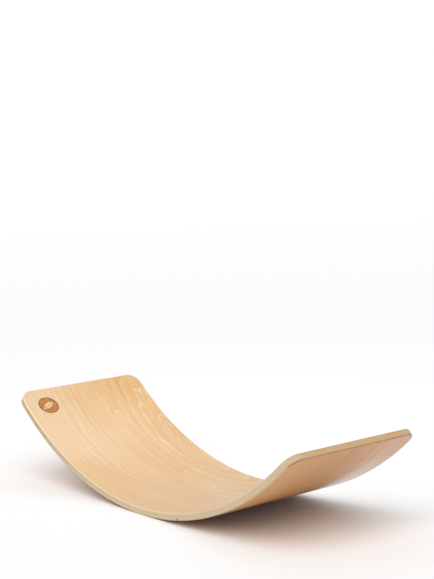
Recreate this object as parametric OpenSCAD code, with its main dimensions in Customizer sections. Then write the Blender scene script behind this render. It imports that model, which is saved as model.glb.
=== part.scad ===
// Seesaw: a balance board of bent plywood.
// One pressed sheet of nine veneers, each its own piece, with rounded corners and eased edges.
// X runs along the board, Y across it and Z up.
// The origin is the middle of the line on which the board rocks.

/* [Board] */
// Width of the board
board_w = 300; // [200:5:400]
// Length of the board along its bend, before it is bent
board_l = 945; // [700:5:1100]
// Radius of the underside, on which the board rocks
rocker_r = 632; // [540:1:1000]
// Radius of the four corners
corner_r = 27; // [10:1:60]
// Length that the press leaves straight at each end, past the corners
end_flat = 3; // [1:1:40]

/* [Veneers] */
// Thickness of each face veneer
face_t = 0.9; // [0.6:0.1:1.5]
// Thickness of each core ply
core_t = 1.7; // [1.2:0.1:2.5]

/* [Edges] */
// Radius to which the edges are eased, on the top and on the underside
ease_r = 2.2; // [1:0.1:2.6]

/* [Hidden] */
NODES = [
    "bottom_face_veneer",
    "core_ply_8_crosswise",
    "core_ply_7_lengthwise",
    "core_ply_6_crosswise",
    "core_ply_5_lengthwise",
    "core_ply_4_crosswise",
    "core_ply_3_lengthwise",
    "core_ply_2_crosswise",
    "top_face_veneer"
];

$fn = 96;
plies = len(NODES);
last_ply = plies - 1;
board_t = 2 * face_t + (plies - 2) * core_t;
hollow_r = rocker_r - board_t;
middle_r = rocker_r - board_t / 2;
straight_l = corner_r + end_flat;
half_bend = (board_l / 2 - straight_l) / middle_r * 180 / PI;
past_middle = 1;
face_colour = [0.90, 0.76, 0.60];
lengthwise_colour = [0.86, 0.74, 0.56];
crosswise_colour = [0.78, 0.64, 0.45];

// Depth of the ply's lower face above the underside: ply 0 is the bottom veneer
function ply_floor(i) = i == 0 ? 0 : face_t + (i - 1) * core_t;
function ply_t(i) = i == 0 || i == last_ply ? face_t : core_t;
function ply_colour(i) =
    i == 0 || i == last_ply ? face_colour : i % 2 == 0 ? lengthwise_colour : crosswise_colour;

// The whole board's edge seen end on: it reaches out to x = reach and its two arrises are eased
module eased_edge(reach) {
    square([reach - ease_r, board_t]);
    translate([0, ease_r]) square([reach, board_t - 2 * ease_r]);
    for (y = [ease_r, board_t - ease_r])
        translate([reach - ease_r, y]) circle(ease_r);
}

// One ply of that edge, upright: y is the height above the underside
module ply_edge(i, reach) {
    intersection() {
        eased_edge(reach);
        translate([0, ply_floor(i)]) square([reach + 1, ply_t(i)]);
    }
}

// One ply cut across the board, with both its long edges
module ply_section(i) {
    ply_edge(i, board_w / 2);
    mirror([1, 0]) ply_edge(i, board_w / 2);
}

// One straight end, lying flat: x = 0 is where the bend stops
module straight_end(i) {
    between_corners = board_w - 2 * corner_r;
    rotate([90, 0, 90]) linear_extrude(end_flat) ply_section(i);
    translate([end_flat, 0, 0]) {
        translate([0, between_corners / 2, 0])
            rotate([90, 0, 0]) linear_extrude(between_corners) ply_edge(i, corner_r);
        for (side = [0, 1])
            mirror([0, side, 0])
                translate([0, between_corners / 2, 0])
                    rotate_extrude(angle = 90) ply_edge(i, corner_r);
    }
}

// The bend that joins it: the section turned about the rocker's axis, a little past the middle
module bend(i) {
    translate([0, 0, rocker_r])
        rotate([90, 0, 0])
            rotate([0, 0, -90])
                rotate_extrude(angle = -(half_bend + past_middle), $fn = 360)
                    translate([rocker_r, 0]) rotate([0, 0, 90]) ply_section(i);
}

// Half of the board in its place, cut off square at the middle
module half_ply(i) {
    intersection() {
        translate([0, 0, rocker_r])
            rotate([0, -half_bend, 0])
                translate([0, 0, -rocker_r]) {
                    straight_end(i);
                    bend(i);
                }
        translate([0, -board_w, -board_t]) cube([board_l, 2 * board_w, rocker_r + board_t]);
    }
}

module ply(i) {
    color(ply_colour(i)) {
        half_ply(i);
        mirror([1, 0, 0]) half_ply(i);
    }
}

for (i = [0 : last_ply])
    ply(i);
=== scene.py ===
# %% [markdown]
# # A balance board of bent plywood
#
# The object is one sheet of plywood that a press has bent into an arc. Nine thin sheets of wood, called
# veneers or plies, are stacked with their grain turned by a quarter from one to the next, glued and pressed.
# Then the corners are rounded, the edges are eased with sandpaper, and everything gets a clear satin lacquer.
#
# This script starts from the engineering model of the board, which fixes every size and place. It makes the
# same nine sheets again with finer faces, gives them wood that follows the bend, and lights them in a studio.

# %% Load the engineering model
import math

import bmesh
import bpy
from mathutils import Matrix, Vector, noise


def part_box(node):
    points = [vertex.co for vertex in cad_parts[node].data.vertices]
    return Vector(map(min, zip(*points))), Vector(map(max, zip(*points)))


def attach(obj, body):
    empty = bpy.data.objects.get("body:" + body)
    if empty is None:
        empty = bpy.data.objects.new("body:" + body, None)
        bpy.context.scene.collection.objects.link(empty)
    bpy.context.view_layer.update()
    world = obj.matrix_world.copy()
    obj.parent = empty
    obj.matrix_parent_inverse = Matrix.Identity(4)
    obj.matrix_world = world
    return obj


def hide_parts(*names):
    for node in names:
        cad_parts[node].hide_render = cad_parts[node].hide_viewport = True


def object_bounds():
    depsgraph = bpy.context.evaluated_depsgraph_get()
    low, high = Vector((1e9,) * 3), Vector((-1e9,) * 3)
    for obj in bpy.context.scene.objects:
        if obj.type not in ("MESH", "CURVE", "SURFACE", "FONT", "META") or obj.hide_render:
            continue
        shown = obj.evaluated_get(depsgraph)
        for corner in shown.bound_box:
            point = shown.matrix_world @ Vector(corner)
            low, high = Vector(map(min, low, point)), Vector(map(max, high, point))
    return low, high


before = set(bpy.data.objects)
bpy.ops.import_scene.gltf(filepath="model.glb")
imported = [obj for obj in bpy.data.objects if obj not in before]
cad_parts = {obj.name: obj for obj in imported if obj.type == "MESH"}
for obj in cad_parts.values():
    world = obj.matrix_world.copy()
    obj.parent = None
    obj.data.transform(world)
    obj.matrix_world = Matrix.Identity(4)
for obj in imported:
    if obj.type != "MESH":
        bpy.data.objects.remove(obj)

cad_low, cad_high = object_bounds()
MM = 1000.0   # millimetres in a metre
print("engineering model:", [round(side * MM, 1) for side in cad_high - cad_low], "mm")

# %% [markdown]
# ## The sizes that drive everything
#
# Blender works in metres. The width is read from the engineering model. The other sizes are the ones that the
# model was drawn from, so they are named once here, and every later step works its places out from them.

# %% Driving sizes
BOARD_W = cad_high.y - cad_low.y
BOARD_L = 0.945         # along the bend, through the middle of the thickness
ROCKER_R = 0.632        # radius of the underside, on which the board rocks
CORNER_R = 0.027
STRAIGHT_L = 0.030      # the stretch at each end that the press leaves straight
EASE_R = 0.0022         # radius to which the edges are sanded
FACE_T = 0.0009         # thickness of a face veneer
CORE_T = 0.0017         # thickness of a core ply

plies = sorted(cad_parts, key=lambda node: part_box(node)[0].z)
BOARD_T = 2 * FACE_T + (len(plies) - 2) * CORE_T
ply_floors = [0.0] + [FACE_T + i * CORE_T for i in range(len(plies) - 1)] + [BOARD_T]
print(len(plies), "plies from the underside up:", ", ".join(plies))

# %% [markdown]
# ## Bending
#
# Wood grain follows the bend, because a veneer is flat when it is cut and only later pressed. So each sheet
# is modelled flat, every point notes where it lies in the flat sheet, and then it is moved to its bent
# place. A Simple Deform modifier could bend too, but it can't stop the bend short of the ends. A function
# of a point's flat place is exact, and the bent sheets fill the engineering model's box to a few hundredths
# of a millimetre.

# %% Where the press takes a point of the flat sheet
MIDDLE_R = ROCKER_R - BOARD_T / 2
BEND_L = BOARD_L / 2 - STRAIGHT_L   # how far the bend runs each way from the middle


def pressed(flat):
    """The bent place of a point that lies at flat.x along, flat.y across and flat.z above the underside."""
    along = max(-BEND_L, min(BEND_L, flat.x))
    angle = along / MIDDLE_R
    out = Vector((math.sin(angle), 0, -math.cos(angle)))
    forward = Vector((math.cos(angle), 0, math.sin(angle)))
    return Vector((0, flat.y, ROCKER_R)) + out * (ROCKER_R - flat.z) + forward * (flat.x - along)


print("the bend turns", round(math.degrees(2 * BEND_L / MIDDLE_R), 1), "degrees in all")

# %% [markdown]
# ## The blank
#
# All nine plies share one outline, so the whole sheet is made first as a flat slab: a cube stretched to size,
# its four upright edges beveled into round corners, and then both rims beveled into the eased edge. A bevel
# with a profile of 0.5 is a true arc. The thin inset ring on each face keeps the smooth shading of the eased
# edge from spreading over the flat face.

# %% One flat slab with round corners and eased edges
CORNER_STEPS = 14
EASE_STEPS = 6
SHADING_RING = 0.0004   # width of the inset ring
SAME_HEIGHT = 1e-6      # heights that differ by less are taken as one


def is_level(edge):
    return abs(edge.verts[0].co.z - edge.verts[1].co.z) < SAME_HEIGHT


def bevel(mesh, edges, radius, steps):
    bmesh.ops.bevel(
        mesh, geom=edges, offset=radius, offset_type="OFFSET", affect="EDGES",
        segments=steps, profile=0.5, material=-1, clamp_overlap=False,
    )


def flat_slab():
    slab = bmesh.new()
    place = Matrix.Translation((0, 0, BOARD_T / 2)) @ Matrix.Diagonal((BOARD_L, BOARD_W, BOARD_T, 1))
    bmesh.ops.create_cube(slab, size=1, matrix=place)
    bevel(slab, [edge for edge in slab.edges if not is_level(edge)], CORNER_R, CORNER_STEPS)
    bevel(slab, [edge for edge in slab.edges if is_level(edge)], EASE_R, EASE_STEPS)
    for face in sorted(slab.faces, key=lambda face: face.calc_area())[-2:]:
        bmesh.ops.inset_region(slab, faces=[face], thickness=SHADING_RING, use_even_offset=True)
    return slab


slab = flat_slab()
print("flat slab:", len(slab.faces), "faces")

# %% [markdown]
# ## Nine plies out of the slab
#
# A ply is the slab between two level planes. `bisect_plane` cuts the slab and clears what lies outside, and
# `edgeloop_fill` closes the cut with a face. Then the long straight faces are divided crosswise into strips
# of about 5 mm, so that they can follow the bend, and the end edges are divided too.
#
# Real veneers are not perfectly even, so each glue line wanders by up to a tenth of a millimetre. Both
# plies that meet at a glue line use the same wandering, so they still touch all over.

# %% Cutting, dividing and bending one ply
BEND_STEPS = 180
END_STEPS = 30
GLUE_LINE_WANDER = 0.0001
WAVES_PER_METRE = 14
SHARP = math.radians(40)   # edges that turn by more stay sharp


def cut_level(mesh, height, keep_above):
    everything = mesh.verts[:] + mesh.edges[:] + mesh.faces[:]
    cut = bmesh.ops.bisect_plane(
        mesh, geom=everything, plane_co=(0, 0, height), plane_no=(0, 0, 1),
        clear_inner=keep_above, clear_outer=not keep_above,
    )
    rim = [part for part in cut["geom_cut"] if isinstance(part, bmesh.types.BMEdge)]
    bmesh.ops.edgeloop_fill(mesh, edges=rim)


def divide_for_the_bend(mesh):
    for end in (-BEND_L, BEND_L):
        everything = mesh.verts[:] + mesh.edges[:] + mesh.faces[:]
        bmesh.ops.bisect_plane(mesh, geom=everything, plane_co=(end, 0, 0), plane_no=(1, 0, 0))
    span = {edge: edge.verts[1].co - edge.verts[0].co for edge in mesh.edges}
    lengthwise = [edge for edge, run in span.items() if abs(run.x) > 1.9 * BEND_L]
    bmesh.ops.subdivide_edges(mesh, edges=lengthwise, cuts=BEND_STEPS - 1, use_grid_fill=True)
    at_ends = [
        edge for edge in mesh.edges
        if abs(edge.verts[0].co.y - edge.verts[1].co.y) > BOARD_W / 2
        and abs(edge.verts[0].co.x) > BEND_L + CORNER_R / 2
    ]
    bmesh.ops.subdivide_edges(mesh, edges=at_ends, cuts=END_STEPS - 1, use_grid_fill=True)


def wander_glue_line(mesh, line):
    for vert in mesh.verts:
        if abs(vert.co.z - ply_floors[line]) < SAME_HEIGHT:
            wave = Vector((vert.co.x * WAVES_PER_METRE, vert.co.y * WAVES_PER_METRE, line * 3.7))
            vert.co.z += GLUE_LINE_WANDER * noise.noise(wave)


def pressed_ply(number):
    """The ply as an object at the origin, bent, with flat_place on every point."""
    node = plies[number]
    mesh = slab.copy()
    if number > 0:
        cut_level(mesh, ply_floors[number], keep_above=True)
    if number < len(plies) - 1:
        cut_level(mesh, ply_floors[number + 1], keep_above=False)
    divide_for_the_bend(mesh)
    flat_place = mesh.verts.layers.float_vector.new("flat_place")
    for vert in mesh.verts:
        vert[flat_place] = vert.co
    for line in (number, number + 1):
        if 0 < line < len(plies):
            wander_glue_line(mesh, line)
    for edge in mesh.edges:
        edge.smooth = edge.calc_face_angle(math.pi) < SHARP
    for vert in mesh.verts:
        vert.co = pressed(vert.co)
    for face in mesh.faces:
        face.smooth = True
    data = bpy.data.meshes.new("pressed_" + node)
    mesh.to_mesh(data)
    mesh.free()
    piece = bpy.data.objects.new("pressed_" + node, data)
    bpy.context.scene.collection.objects.link(piece)
    return piece


print("strips along the bend:", round(2 * BEND_L / BEND_STEPS * MM, 1), "mm long")

# %% Make the nine sheets and put them on the frame
sheets = {}
for number, node in enumerate(plies):
    sheet = pressed_ply(number)
    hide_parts(node)
    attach(sheet, "root")
    sheets[node] = sheet
    low = min(vert.co.z for vert in sheet.data.vertices)
    print(f"{node}: {len(sheet.data.polygons)} faces, lowest point {low * MM:.2f} mm")
slab.free()

# %% [markdown]
# ## A small language for finishes
#
# A procedural wood is mostly arithmetic on places. `Signal` wraps one output socket, and Python's own
# operators add the Math nodes, so a formula in the script reads like a formula. `Finish` holds a material,
# and its one method `node` makes any node: first its settings, then the values or links of its sockets.

# %% Signal


class Signal:
    """An output socket whose arithmetic adds Math nodes."""

    def __init__(self, finish, socket):
        self.finish, self.socket = finish, socket

    def maths(self, operation, *others):
        sockets = dict(enumerate((self, *others)))
        return self.finish.node("ShaderNodeMath", {"operation": operation}, sockets)

    def __add__(self, other):
        return self.maths("ADD", other)

    def __radd__(self, other):
        return self.maths("ADD", other)

    def __sub__(self, other):
        return self.maths("SUBTRACT", other)

    def __rsub__(self, other):
        return self.maths("MULTIPLY_ADD", -1.0, other)

    def __mul__(self, other):
        return self.maths("MULTIPLY", other)

    def __rmul__(self, other):
        return self.maths("MULTIPLY", other)

    def __truediv__(self, other):
        return self.maths("DIVIDE", other)

    def __pow__(self, other):
        return self.maths("POWER", other)

    def __neg__(self):
        return self.maths("MULTIPLY", -1.0)

    def __abs__(self):
        return self.maths("ABSOLUTE")

    def floor(self):
        return self.maths("FLOOR")

    def fraction(self):
        return self.maths("FRACT")

    def root(self):
        return self.maths("SQRT")

    def below(self, limit):
        return self.maths("MINIMUM", limit)

    def above(self, limit):
        return self.maths("MAXIMUM", limit)

    def clipped(self, low=0.0, high=1.0):
        return self.above(low).below(high)

    def ramp(self, start, end):
        """0 up to start and 1 from end on, with a soft change between."""
        sockets = {"Value": self, "From Min": start, "From Max": end}
        return self.finish.node("ShaderNodeMapRange", {"interpolation_type": "SMOOTHSTEP"}, sockets)


print("a Signal knows", sum(callable(part) for part in vars(Signal).values()), "kinds of step")

# %% Finish


class Finish:
    """A material and the one way in which its nodes are made."""

    def __init__(self, name):
        self.material = bpy.data.materials.new(name)
        self.material.use_nodes = True
        self.tree = self.material.node_tree
        self.shader = self.tree.nodes["Principled BSDF"]

    def node(self, kind, settings=None, sockets=None, output=0):
        made = self.tree.nodes.new(kind)
        for setting, value in (settings or {}).items():
            setattr(made, setting, value)
        for socket, value in (sockets or {}).items():
            self.feed(made.inputs[socket], value)
        return Signal(self, made.outputs[output])

    def feed(self, socket, value):
        if isinstance(value, Signal):
            self.tree.links.new(value.socket, socket)
        else:
            socket.default_value = value

    def set(self, **values):
        for name, value in values.items():
            self.feed(self.shader.inputs[name.replace("_", " ")], value)

    def place(self):
        """Where the point lies in the flat sheet, in millimetres: along, across and up."""
        settings = {"attribute_name": "flat_place", "attribute_type": "GEOMETRY"}
        flat = self.node("ShaderNodeAttribute", settings, output="Vector")
        return [self.node("ShaderNodeSeparateXYZ", None, {0: flat}, output=axis) * MM for axis in range(3)]

    def cloud(self, x, y, z=0.0, detail=2.0):
        """Soft noise between about -1 and 1, one lump to each unit of x, y and z."""
        where = self.node("ShaderNodeCombineXYZ", None, {0: x, 1: y, 2: z})
        lumps = self.node("ShaderNodeTexNoise", None, {"Vector": where, "Scale": 1.0, "Detail": detail})
        return (lumps - 0.5) * 3.0

    def dice(self, number, seed):
        """One random value from 0 to 1 for each whole number."""
        return self.node("ShaderNodeTexWhiteNoise", {"noise_dimensions": "1D"}, {"W": number + seed})

    def blend(self, factor, first, second, how="MIX"):
        settings = {"data_type": "RGBA", "blend_type": how}
        return self.node("ShaderNodeMix", settings, {0: factor, 6: first, 7: second}, output=2)

    def bump(self, height, depth):
        """A bumpy surface whose Height of 1 stands depth metres proud."""
        return self.node("ShaderNodeBump", None, {"Strength": 1.0, "Distance": depth, "Height": height})


def colour(red, green, blue):
    """A colour as a paint mixer's screen shows it, 0 to 255, turned into Blender's linear values."""
    levels = [level / 255 for level in (red, green, blue)]
    return (*[v / 12.92 if v <= 0.04045 else ((v + 0.055) / 1.055) ** 2.4 for v in levels], 1.0)


def squared(value):
    return value * value


print("a middle grey of 128 is", round(colour(128, 128, 128)[0], 3), "in linear light")

# %% [markdown]
# ## Growth rings on a face veneer
#
# A flat-cut veneer shows growth rings as contour lines, because the knife runs almost along them. Where the
# trunk bulged, the lines close into long loops with ragged ends, which is called crown figure. Blender's
# Wave texture makes rings too, but its rings can't be closed into loops where they are wanted. So the wood
# is a height field, the number of the ring at each point, and a pale line shows wherever it passes a whole
# number. Straight-grained wood is a slope, a crown is a cone stretched along the grain, and each eye is a
# dent. Noise that is long along the grain makes the lines waver and makes the ragged ends of the loops.
# Along the near side the rings lie closer together, because the knife met them more steeply there.

# %% The ring number at each point
RING_W = 19.0    # millimetres from one growth ring to the next
HEART_R = 20.0   # radius of the plain wood at the heart of a crown


def crown(finish, along, across, heart, stretch, first_ring):
    """Rings around a crown whose heart is the point heart, long loops stretch times as long as wide."""
    run = (along - heart[0]) / stretch
    rise = across - heart[1]
    distance = (squared(run) + squared(rise)).root().above(HEART_R)
    uneven = finish.cloud(distance / 26, 0.0, 7.7) * 0.30
    return (distance - first_ring) / RING_W + uneven


def eye(along, across, middle, half_length, half_width, depth):
    """A dent in the ring numbers, which closes one or two rings into a small loop."""
    reach = squared((along - middle[0]) / half_length) + squared((across - middle[1]) / half_width)
    return (-squared(reach)).maths("EXPONENT") * -depth


def wavering(finish, along, across, seed):
    slow = finish.cloud(along / 420, across / 34, seed) * 0.30
    raggedness = 0.09 + across.ramp(-20, 50) * 0.11
    return slow + finish.cloud(along / 60, across / 9, seed + 5, detail=3.0) * raggedness


print("a growth ring of a crown is", RING_W, "mm wide on the face")

# %% [markdown]
# ## The look of a face veneer
#
# From the ring number come the pale line at the start of each ring, with its own strength, and warm and
# light bands that follow the figure. Between the rings run finer pale lines, each with its own strength,
# that fade in and out along the board. A Color Ramp could colour the rings in one go, but then every line
# would be equally strong. The White Noise node gives one random strength to each line.

# %% Pale lines
LINE_PART = 0.10   # how much of a ring its pale line takes up
FINE_GAP = 12.0    # millimetres between the finer lines in straight wood
FINE_PART = 0.26   # how much of a gap a fine line takes up


def line_at(number, part):
    """1 where the number passes a whole one, fading to 0 by the given part of the way to the next."""
    return 1 - (number.fraction() / part).below(1.0)


def straight_grain(across):
    """1 along the near side, where the grain runs straight, and 0 in the crown figure."""
    return across.ramp(30, -40)


def pale_lines(finish, ring, along, across, seed):
    strength = finish.dice(ring.floor(), seed) * 0.5 + 0.5
    fading = (finish.cloud(along / 260, across / 25, seed + 2) * 0.5 + 0.85).clipped(low=0.35)
    near_end = 1 - along.ramp(-350, -440) * 0.4
    lines = line_at(ring, LINE_PART) * strength * fading * near_end
    fine_ring = ring - across / FINE_GAP + finish.cloud(along / 500, across / 10, seed + 15) * 0.35
    fine_strength = finish.dice(fine_ring.floor(), seed + 40) ** 1.4
    fine_fading = (finish.cloud(along / 330, across / 7, seed + 16) * 0.5 + 0.7).clipped(low=0.15)
    fine_lines = line_at(fine_ring, FINE_PART) * fine_strength * fine_fading
    return lines.above(fine_lines * (0.75 + straight_grain(across) * 0.10))


print("pale lines:", round(RING_W * LINE_PART, 1), "mm wide, and finer ones every", FINE_GAP, "mm")

# %% Warm and light wood
WARM_RISE = 0.08   # how much of a ring it takes after a line for the wood to turn warm


def warmth(finish, ring, along, across, seed):
    """How warm the wood is, from 0 to 1: warm after each line, in bands, in patches, and in a far corner."""
    part = ring.fraction()
    after_line = ((part - LINE_PART) / WARM_RISE).clipped() * (1 - part) ** 2.0
    bands = finish.cloud(along / 600, ring * 2.1, seed + 9, detail=3.0)
    figure = (after_line * 0.40 + bands * 0.38) * (1 - straight_grain(across) * 0.3)
    patches = finish.cloud(along / 190, across / 75, seed + 4) * 0.28
    far_corner = along.ramp(-360, -465) * across.ramp(-110, -10) * 0.2
    near_side = across.ramp(-40, -130) * 0.12
    # Painted sheen: the near side of one end is less warm.
    painted_sheen = along.ramp(-200, -330) * across.ramp(10, -100) * 0.3
    return (figure + patches + far_corner + near_side - painted_sheen + 0.17).clipped()


def end_tint_and_painted_sheen(finish, wood, along, across):
    """One end is a little cooler on the near side, a painted sheen, and more golden on the far side."""
    shade = finish.blend(across.ramp(-130, 130), colour(243, 248, 252), colour(241, 235, 212))
    return finish.blend(along.ramp(-150, -400) * 0.62, wood, shade, "MULTIPLY")


print("the wood turns warm within", round(RING_W * WARM_RISE, 1), "mm after a pale line")

# %% [markdown]
# ## The rim of a sheet
#
# Along the rim the sandpaper has cut through to raw wood: pale on the long sides, and golden at the ends,
# where the cut fibres soak up lacquer. So a finish has to know how far a point is from the outline, and
# whether it is on a long side or at an end. Colours painted on the mesh could tell it that, but only as
# sharply as the mesh is divided. Here both come from the same two distances that make a round corner.

# %% Distances from the outline
HALF_L = BOARD_L / 2 * MM
HALF_W = BOARD_W / 2 * MM
CORNER = CORNER_R * MM
RIM_W = 1.9   # millimetres in from the outline, as far as the sandpaper has cut through


def end_cut(along):
    """0 on the long edges, 1 on the ends, and a smooth change around each corner."""
    return ((abs(along) - (HALF_L - CORNER)) / CORNER).clipped()


def rim_distance(along, across):
    """Millimetres in from the outline of the flat sheet."""
    over_x = (abs(along) - (HALF_L - CORNER)).above(0.0)
    over_y = (abs(across) - (HALF_W - CORNER)).above(0.0)
    round_corner = CORNER - (squared(over_x) + squared(over_y)).root()
    straight_sides = (HALF_L - abs(along)).below(HALF_W - abs(across))
    return straight_sides.below(round_corner)


def sanded_rim_and_painted_highlight(finish, wood, along, across, side, end):
    """The wood with its sanded rim, paler still towards one end of the board: partly a painted highlight."""
    sanded = 1 - rim_distance(along, across).ramp(RIM_W - 0.8, RIM_W)
    # Towards one end the rim turns whiter: partly pale wood, partly a painted highlight on the eased edge.
    side_rim = finish.blend(along.ramp(-200, -440) * 0.9, side, colour(250, 244, 230))
    rim = finish.blend(end_cut(along).ramp(0.5, 0.9), side_rim, end)
    return finish.blend(sanded * 0.9, wood, rim)


print("flat outline:", round(2 * HALF_L, 1), "x", round(2 * HALF_W, 1), "mm, sanded", RIM_W, "mm in")

# %% [markdown]
# ## Beech, and the lacquer on it
#
# Over the figure lie the fibres, which run straight along the board, and the short dark flecks that beech
# always has. The fibres also groove the surface very slightly and change its gloss. The lacquer is the
# shader's Coat, a clear layer with its own gloss over the wood.

# %% Beech and lacquer
GROOVE_DEPTH = 0.00003   # metres, of the fibres under the lacquer


def beech(name, ring_number, tones, seed):
    """A face veneer. tones: its light and warm wood, its pale lines, and its rim on the sides and ends."""
    finish = Finish(name)
    along, across, _ = finish.place()
    ring = ring_number(finish, along, across)
    warm = tones["warm"]
    wood = finish.blend(warmth(finish, ring, along, across, seed), tones["light"], warm)
    wood = end_tint_and_painted_sheen(finish, wood, along, across)
    wood = finish.blend(pale_lines(finish, ring, along, across, seed), wood, tones["line"])
    fibres = finish.cloud(along / 90, across / 0.9, seed + 11, detail=4.0)
    long_fibres = finish.cloud(along / 300, across / 2.6, seed + 12)
    shade = (fibres * 0.10 + long_fibres * 0.12 + 0.12).above(0.0)
    wood = finish.blend(shade, wood, warm, "MULTIPLY")
    flecks = finish.cloud(along / 2.2, across / 0.28, seed + 13, detail=1.0).ramp(0.75, 1.05)
    wood = finish.blend(flecks * 0.22, wood, warm, "MULTIPLY")
    wood = sanded_rim_and_painted_highlight(finish, wood, along, across, tones["side_rim"], tones["end_rim"])
    sheen = finish.cloud(along / 60, across / 30, seed + 20)
    grooves = fibres * 0.5 + long_fibres * 0.4 - flecks * 0.8
    return finish, wood, sheen, grooves, (along, across)


def lacquer(finish, wood, sheen, grooves, coat, coat_roughness):
    """Clear satin lacquer over wood that is grooved by its fibres."""
    roughness = 0.50 + sheen * 0.03 + grooves * 0.02
    finish.set(Base_Color=wood, Roughness=roughness, Normal=finish.bump(grooves, GROOVE_DEPTH))
    finish.set(Specular_IOR_Level=0.25, Coat_Weight=coat, Coat_Roughness=coat_roughness, Coat_IOR=1.5)


print("fibres groove the lacquered wood by about", round(GROOVE_DEPTH * MM, 3), "mm")

# %% [markdown]
# ## The top veneer
#
# One large crown lies near the far side, with a long eye beside it, a small eye at the far corner, and
# another long eye in the board's other half. Along the near side the grain runs straight, and the rings get
# narrower.

# %% The top veneer's figure
TOP_TONES = {
    "light": colour(236, 201, 154), "warm": colour(225, 170, 90), "line": colour(238, 235, 228),
    "side_rim": colour(226, 211, 184), "end_rim": colour(178, 140, 92),
}


def top_rings(finish, along, across):
    rings = crown(finish, along, across, heart=(-212, 140), stretch=4.0, first_ring=26)
    rings = rings + eye(along, across, middle=(-228, 38), half_length=190, half_width=16, depth=1.42)
    rings = rings + eye(along, across, middle=(-490, 53), half_length=62, half_width=9, depth=1.4)
    rings = rings + eye(along, across, middle=(250, -60), half_length=200, half_width=20, depth=1.7)
    narrower = (15 - across).above(0.0) / RING_W * 0.7
    uneven = finish.cloud(along / 900, across / 15, 9) * 0.45 * across.ramp(40, 0)
    return rings + narrower + uneven + along * 0.0008 + wavering(finish, along, across, 3)


top_finish, top_wood, top_sheen, top_grooves, (along, across) = beech(
    "lacquered_beech_top", top_rings, TOP_TONES, seed=1
)
print("top veneer:", len(top_finish.tree.nodes), "nodes so far")

# %% [markdown]
# ## The burnt mark
#
# A maker burns a mark into the top near one corner with a laser. This one is a plain round patch with a
# leaf left unburnt. The burn is thin, so the grain still shows in it, and colour, gloss and a light bump
# are enough without a cut in the mesh. Its rim is darker, where the beam turns. Two circles that overlap
# make the leaf, and the patch is a circle, so distances from points are all it takes.

# %% A round burn with a leaf left out
MARK_MIDDLE = (-426, -101)   # millimetres along and across
MARK_R = 22.5
LEAF_HALF_L = 15.0
LEAF_HALF_W = 6.5
LEAF_TURN = math.radians(28)
RIB_HALF_W = 0.7
STALK_HALF_W = 0.9
STALK_HALF_L = 4.0


def distance_to(x, y, point):
    return (squared(x - point[0]) + squared(y - point[1])).root()


def inside(distance, softness=0.25):
    """1 where a distance to an outline is negative, with a soft edge."""
    return 1 - distance.ramp(-softness, softness)


def unburnt_leaf(x, y):
    """1 on the leaf, whose rib is burnt, and on its stalk. It points along y and lies around the middle."""
    side_r = (LEAF_HALF_L ** 2 + LEAF_HALF_W ** 2) / (2 * LEAF_HALF_W)
    shift = side_r - LEAF_HALF_W
    sides = distance_to(x, y, (shift, 0)).above(distance_to(x, y, (-shift, 0)))
    leaf = inside(sides - side_r)
    rib = inside(abs(x) - RIB_HALF_W) * inside(abs(y + STALK_HALF_L) - LEAF_HALF_L)
    stalk = inside(abs(x) - STALK_HALF_W) * inside(abs(y + LEAF_HALF_L) - STALK_HALF_L) * (1 - leaf)
    return (leaf * (1 - rib)).above(stalk)


def burnt_mark(along, across):
    """How strongly each point is burnt, and how near it is to the patch's dark rim."""
    x, y = along - MARK_MIDDLE[0], across - MARK_MIDDLE[1]
    from_rim = distance_to(x, y, (0, 0)) - MARK_R
    leaf_x = x * math.cos(LEAF_TURN) + y * math.sin(LEAF_TURN)
    leaf_y = y * math.cos(LEAF_TURN) - x * math.sin(LEAF_TURN)
    burn = inside(from_rim) * (1 - unburnt_leaf(leaf_x, leaf_y))
    rim = 1 - ((abs(from_rim) - 1.2) / 2.4).clipped()
    return burn, rim


print("the mark is", 2 * MARK_R, "mm wide and its leaf is", 2 * LEAF_HALF_L, "mm long")

# %% Burn the mark and lacquer the top
burn, burn_rim = burnt_mark(along, across)
char = (top_finish.cloud(along / 24, across / 3.2, 40) * 0.6 + 0.22 + burn_rim * 0.7).clipped()
burnt_wood = top_finish.blend(char, colour(196, 128, 55), colour(130, 70, 18))
top_wood = top_finish.blend(burn * 0.95, top_wood, burnt_wood)
top_sheen = top_sheen + burn * 3.0
top_grooves = top_grooves - burn * 1.2
lacquer(top_finish, top_wood, top_sheen, top_grooves, coat=0.9 - burn * 0.8, coat_roughness=0.22)
sheets["top_face_veneer"].data.materials.append(top_finish.material)
print("top veneer:", len(top_finish.tree.nodes), "nodes with the mark")

# %% [markdown]
# ## The underside
#
# The face that rocks on the floor is the same beech, cut from a straighter and redder part of the trunk, so
# its rings are close to straight lines, with dark and pale streaks between them and paler sapwood along the
# near side. Painted shade darkens the wood towards the middle, where the board comes near the floor,
# the end rims are darker near the corners, and the lacquer is worn thin, apart from the far side and one end.

# %% The bottom veneer's figure
BOTTOM_RING_W = 11.0
BOTTOM_TONES = {
    "light": colour(216, 167, 110), "warm": colour(184, 122, 60), "line": colour(223, 182, 128),
    "side_rim": colour(205, 186, 155), "end_rim": colour(176, 136, 96),
}


def bottom_rings(finish, along, across):
    rings = (190 - across) / BOTTOM_RING_W + along * 0.0012
    rings = rings + eye(along, across, middle=(-120, 20), half_length=210, half_width=20, depth=0.8)
    return rings + wavering(finish, along, across, 31)


under, under_wood, under_sheen, under_grooves, (along, across) = beech(
    "lacquered_beech_underside", bottom_rings, BOTTOM_TONES, seed=61
)
sapwood = across.ramp(-40, -140)
under_wood = under.blend(sapwood * 0.42, under_wood, colour(234, 186, 132))
streaks = (under.cloud(along / 420, across / 5.0, 66, detail=3.0) * 1.3 + 0.2).above(0.0)
under_wood = under.blend(streaks * 0.8, under_wood, colour(224, 202, 184), "MULTIPLY")
pale_streaks = under.cloud(along / 500, across / 3.0, 77, detail=3.0).ramp(0.1, 0.9)
under_wood = under.blend(pale_streaks * 0.3, under_wood, colour(230, 190, 150))
print("underside:", len(under.tree.nodes), "nodes so far")
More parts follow.
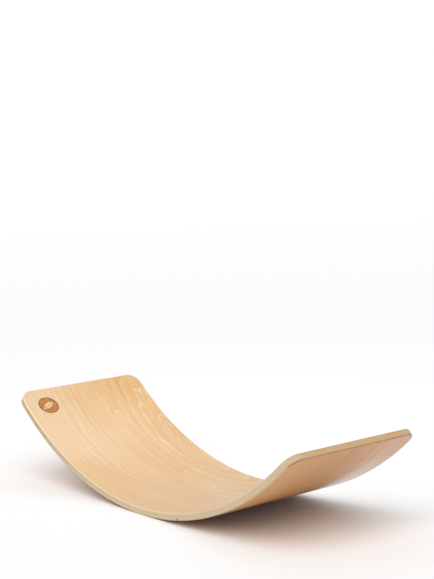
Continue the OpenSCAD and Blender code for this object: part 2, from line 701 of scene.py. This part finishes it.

# %% Painted shade, darker end rims and worn lacquer on the underside
# Painted shade: the wood is darker towards the middle, where the board comes near the floor.
painted_contact_shade = abs(along).ramp(330, 190) * (0.9 - across.ramp(-50, -130) * 0.4)
under_wood = under.blend(painted_contact_shade, under_wood, colour(206, 180, 155), "MULTIPLY")
# The end rims are darker in patches, most of all near the corners.
end_rim = (1 - rim_distance(along, across).ramp(1.0, 2.6)) * end_cut(along).ramp(0.15, 0.5)
in_corners = across.ramp(-100, -130) * 0.8 + across.ramp(125, 148) * 0.5
darker_end_rim = end_rim * (under.cloud(along / 14, across / 18, 70) * 0.3 + in_corners + 0.12).clipped()
under_wood = under.blend(darker_end_rim * 0.8, under_wood, colour(92, 72, 54))
far_side_left = across.ramp(35, 110) * 0.75 * (1 - along.ramp(280, 430) * 0.7)
lacquer_left = 0.10 + far_side_left + along.ramp(270, 400) * 0.42
lacquer(under, under_wood, under_sheen, under_grooves, coat=lacquer_left, coat_roughness=0.16)
sheets["bottom_face_veneer"].data.materials.append(under.material)
print("underside:", len(under.tree.nodes), "nodes with its wear")

# %% [markdown]
# ## The core plies, seen only at the edges
#
# At the edge the plies show in turn: one along its fibres, as fine lines, and the next cut across them, as
# dots of end grain. Around a corner the two change places. Flat patterns laid on each face would need a
# seam at every corner. Solid noise, long along the ply's own fibres, shows the right thing on each face of
# the edge by itself. The cut ends are darker and more golden, and painted shade darkens them a little more
# on the highest and lowest core plies. A crosswise ply is several strips laid side by side, so its tone
# changes along the board. Stains, short dashes of resin and two small knots break up the edge, and towards
# one end of the board the plies turn golden.

# %% Tone of a core ply
STRIP_L = 210.0      # millimetres of board that one strip of a crosswise ply covers
JOINT_HALF_W = 0.3   # millimetres of the thin dark joint between two strips, on each side of its middle


def strip_tone(finish, place, number, seed):
    """How warm each strip of a crosswise ply is, and 1 in the thin joints between the strips."""
    along, across, _ = place
    strips = (along + finish.cloud(across / 60, seed) * 3.0 + number * 97) / STRIP_L
    from_joint = STRIP_L / 2 - abs(strips.fraction() - 0.5) * STRIP_L
    joints = 1 - from_joint.ramp(JOINT_HALF_W, JOINT_HALF_W + 0.4)
    return finish.dice(strips.floor(), seed) * 0.7, joints


print("a crosswise ply is at least", math.ceil(2 * HALF_L / STRIP_L), "strips side by side")

# %% Wood of a core ply
CROSSWISE = {"side": colour(213, 198, 168), "end": colour(211, 178, 135)}
LENGTHWISE = {"side": colour(212, 194, 162), "end": colour(203, 169, 127)}
GOLDEN_SIDE = colour(200, 166, 116)
END_FACE_HALF_W = 112   # millimetres from the middle, as far as the end face is fully golden


def edge_wood(finish, place, warm, fibres, turn, tones):
    """Pale wood on the long sides and golden wood on the ends, with fibres and stains."""
    along, across, up = place
    wood = finish.blend(warm, tones["side"], GOLDEN_SIDE)
    end_face = turn.ramp(0.90, 1.0) * abs(across).ramp(END_FACE_HALF_W + 9, END_FACE_HALF_W)
    wood = finish.blend(end_face, wood, tones["end"])
    corner = turn.ramp(0.2, 0.6) * (1 - end_face)
    wood = finish.blend(corner, wood, colour(246, 241, 243), "MULTIPLY")
    wood = finish.blend((fibres * 0.18 + 0.12).above(0.0), wood, colour(188, 152, 108), "MULTIPLY")
    stain = finish.cloud(along / 30, across / 30, up / 3.0 + 50.0).ramp(0.1, 0.9)
    return finish.blend(stain * 0.45, wood, colour(198, 156, 98))


print("golden end faces:", 2 * END_FACE_HALF_W, "of", round(2 * HALF_W, 1), "mm")

# %% Painted shade at the ends, resin and knots
LOWEST_CORE = 1
HIGHEST_CORE = len(plies) - 2
KNOTS_AT = [(112, -150), (-386, -150)]   # millimetres along and across, the second one ply higher
KNOT_R = 3.6


def painted_end_shade(finish, wood, place, number, turn):
    """Painted shade: ends a little darker and warmer on the highest core ply, in patches on the lowest one.
    """
    along, across, _ = place
    if number == HIGHEST_CORE:
        # Painted shade: darker, warmer ends where the upper eased edge turns up to the light.
        return finish.blend(turn, wood, colour(243, 234, 214), "MULTIPLY")
    if number == LOWEST_CORE:
        # Painted shade under the lower eased edge, darker in patches.
        lower_arris_shade = (finish.cloud(along / 20, across / 26, 80) * 0.5 + 0.6).clipped()
        return finish.blend(turn * lower_arris_shade, wood, colour(222, 205, 186), "MULTIPLY")
    return wood


def spotted(finish, wood, place, number, resin):
    """Short dashes of resin, and the knots that pass through this ply and the next."""
    along, across, _ = place
    wood = finish.blend(resin, wood, colour(146, 104, 62))
    for height, spot in enumerate(KNOTS_AT, start=LOWEST_CORE):
        if height <= number <= height + 1:
            knot = 1 - distance_to(along, across, spot).ramp(KNOT_R / 3, KNOT_R)
            wood = finish.blend(knot * 0.8, wood, colour(110, 68, 44))
    return wood


print(len(KNOTS_AT), "knots, each as thick as two plies")

# %% Core plies
EDGE_GROOVE_DEPTH = 0.00006   # metres, deeper than on a face, because the saw cuts across the fibres
PLY_SHADES = [0.88, 1.04, 0.92, 1.02, 0.90, 1.04, 0.96]   # of the core plies, from the lowest one up


def core_ply(name, number, crosswise):
    finish = Finish(name)
    place = along, across, up = finish.place()
    seed = number * 17.0
    fibre_x, fibre_y = (across, along) if crosswise else (along, across)
    fibres = finish.cloud(fibre_x / 45, fibre_y / 0.8, up / 0.35 + seed, detail=3.0)
    growth = finish.cloud(fibre_x / 160, fibre_y / 6.0, up / 2.0 + seed + 3)
    dashes = finish.cloud(fibre_x / 22, fibre_y / 4.0, up / 0.45 + seed + 90, detail=1.0).ramp(0.45, 0.85)
    turn = end_cut(along)
    golden = 0.0 if number == HIGHEST_CORE else along.ramp(-150, -430)
    if crosswise:
        tone, joints = strip_tone(finish, place, number, seed)
        tone = tone + golden * 0.9
    else:
        tone = finish.cloud(along / 240, up / 3 + seed) * 0.3 + 0.35 + golden * 0.6
    warm = (tone * 0.55 + growth * 0.15).clipped()
    wood = edge_wood(finish, place, warm, fibres, turn, CROSSWISE if crosswise else LENGTHWISE)
    wood = painted_end_shade(finish, wood, place, number, turn)
    if crosswise:
        wood = finish.blend(joints * 0.5, wood, colour(120, 88, 58))
    wood = spotted(finish, wood, place, number, dashes * (turn * 0.3 + 0.35))
    shade = PLY_SHADES[number - LOWEST_CORE]
    wood = finish.blend(1.0, wood, (shade, shade, shade, 1.0), "MULTIPLY")
    bump = finish.bump(fibres * 0.7 + growth * 0.3, EDGE_GROOVE_DEPTH)
    finish.set(Base_Color=wood, Roughness=0.56 + fibres * 0.04, Normal=bump, Specular_IOR_Level=0.35)
    return finish.material


for number, node in enumerate(plies[1:-1], start=LOWEST_CORE):
    crosswise = "crosswise" in node
    finish_name = ("end_grain_ply_" if crosswise else "long_grain_ply_") + str(number)
    sheets[node].data.materials.append(core_ply(finish_name, number, crosswise))
print(len(bpy.data.materials), "materials in all")

# %% [markdown]
# ## The studio
#
# The board stands on a plain white floor in a white room. A broad key light comes from the front right, and a
# small softbox hangs behind the board on the left and puts the sheen on its hollow. The room itself fills the
# shadows. A sun lamp with a wide angle is the simplest soft light that is equally bright all over the floor.
#
# The room looks a little brighter than it shines, so that the background stays white and the shadows stay
# soft. The floor fades away in the distance, so no horizon shows, and it can't be seen from below, so that
# the underside can be looked at too.

# %% Floor
FLOOR_HALF_W = 20.0
FADES_FROM = 1.5   # metres from the middle
FADES_TO = 12.0


def floor_finish():
    finish = Finish("studio_floor")
    finish.set(Base_Color=(0.95, 0.95, 0.95, 1.0), Roughness=0.9, Specular_IOR_Level=0.1)
    behind = finish.node("ShaderNodeNewGeometry", output="Backfacing")
    spot = finish.node("ShaderNodeTexCoord", output="Object")
    away = finish.node("ShaderNodeVectorMath", {"operation": "LENGTH"}, {0: spot}, output="Value")
    clearness = behind.above(away.ramp(FADES_FROM, FADES_TO))
    solid = Signal(finish, finish.shader.outputs[0])
    clear = finish.node("ShaderNodeBsdfTransparent")
    both = finish.node("ShaderNodeMixShader", None, {0: clearness, 1: solid, 2: clear})
    finish.feed(finish.tree.nodes["Material Output"].inputs["Surface"], both)
    return finish.material


floor_mesh = bmesh.new()
bmesh.ops.create_grid(floor_mesh, x_segments=1, y_segments=1, size=FLOOR_HALF_W)
floor_data = bpy.data.meshes.new("studio_floor")
floor_mesh.to_mesh(floor_data)
floor_mesh.free()
floor_data.materials.append(floor_finish())
floor = bpy.data.objects.new("studio_floor", floor_data)
bpy.context.scene.collection.objects.link(floor)
print("floor:", 2 * FLOOR_HALF_W, "metres wide, gone by", FADES_TO, "metres from the middle")

# %% The white room
ROOM_LIGHT = 0.58   # how strongly the room lights the board
ROOM_SEEN = 1.02    # how bright it looks to the camera

room = bpy.data.worlds.new("white_room")
bpy.context.scene.world = room
room.use_nodes = True
background = room.node_tree.nodes["Background"]
background.inputs["Color"].default_value = (1.0, 1.0, 1.0, 1.0)
seen = room.node_tree.nodes.new("ShaderNodeLightPath")
level = room.node_tree.nodes.new("ShaderNodeMapRange")
level.inputs["To Min"].default_value = ROOM_LIGHT
level.inputs["To Max"].default_value = ROOM_SEEN
room.node_tree.links.new(seen.outputs["Is Camera Ray"], level.inputs["Value"])
room.node_tree.links.new(level.outputs["Result"], background.inputs["Strength"])
print("room light", ROOM_LIGHT, "and looks", ROOM_SEEN)

# %% Lamps
SOFTBOX_W = 0.50
SOFTBOX_POWER = 0.95
SOFTBOX_AT = Vector((-0.57, 0.61, 1.20))
SOFTBOX_AIM = Vector((-0.31, -0.09, 0.11))
KEY_POWER = 1.80
KEY_ANGLE = 60
KEY_FROM = Vector((0.36, -0.50, 0.79))


def lamp(name, kind, power, towards_light):
    data = bpy.data.lights.new(name, kind)
    data.energy = power
    light = bpy.data.objects.new(name, data)
    light.rotation_mode = "QUATERNION"
    light.rotation_quaternion = towards_light.to_track_quat("Z", "Y")
    bpy.context.scene.collection.objects.link(light)
    return light


softbox = lamp("overhead_softbox", "AREA", SOFTBOX_POWER, SOFTBOX_AT - SOFTBOX_AIM)
softbox.location = SOFTBOX_AT
softbox.data.size = SOFTBOX_W
key = lamp("key_light", "SUN", KEY_POWER, KEY_FROM)
key.data.angle = math.radians(KEY_ANGLE)
print("softbox", round((SOFTBOX_AT - SOFTBOX_AIM).length, 2), "metres from the wood that it lights")

# %% [markdown]
# ## The camera
#
# The camera stands about 2.8 metres away with a short telephoto lens, a little above the board, and looks
# over it, so the board fills the lower part of the tall picture. It is tipped by two degrees.

# %% Camera
TURN, LIFT, TIP = (math.radians(angle) for angle in (51.49, 6.634, -2.21))
AWAY = 2.8034
ASIDE = 0.0419
ABOVE = 0.3123
AIM_HEIGHT = 0.0969
LENS_MM = 89.72

back = Vector((math.sin(TURN) * math.cos(LIFT), -math.cos(TURN) * math.cos(LIFT), math.sin(LIFT)))
level_right = Vector((math.cos(TURN), math.sin(TURN), 0))
level_up = back.cross(level_right)
right = level_right * math.cos(TIP) + level_up * math.sin(TIP)
up = level_up * math.cos(TIP) - level_right * math.sin(TIP)
camera_data = bpy.data.cameras.new("camera")
camera_data.lens = LENS_MM
camera_data.sensor_width = 36
camera = bpy.data.objects.new("camera", camera_data)
camera.matrix_world = Matrix.Translation(
    back * AWAY + level_right * ASIDE + level_up * ABOVE + Vector((0, 0, AIM_HEIGHT))
) @ Matrix((right, up, back)).transposed().to_4x4()
bpy.context.scene.collection.objects.link(camera)
bpy.context.scene.camera = camera
bpy.context.scene.view_settings.view_transform = "Standard"
print("camera at", [round(value, 3) for value in camera.location])

# %% [markdown]
# ## The size
#
# The visual model has to be as big as the engineering model.
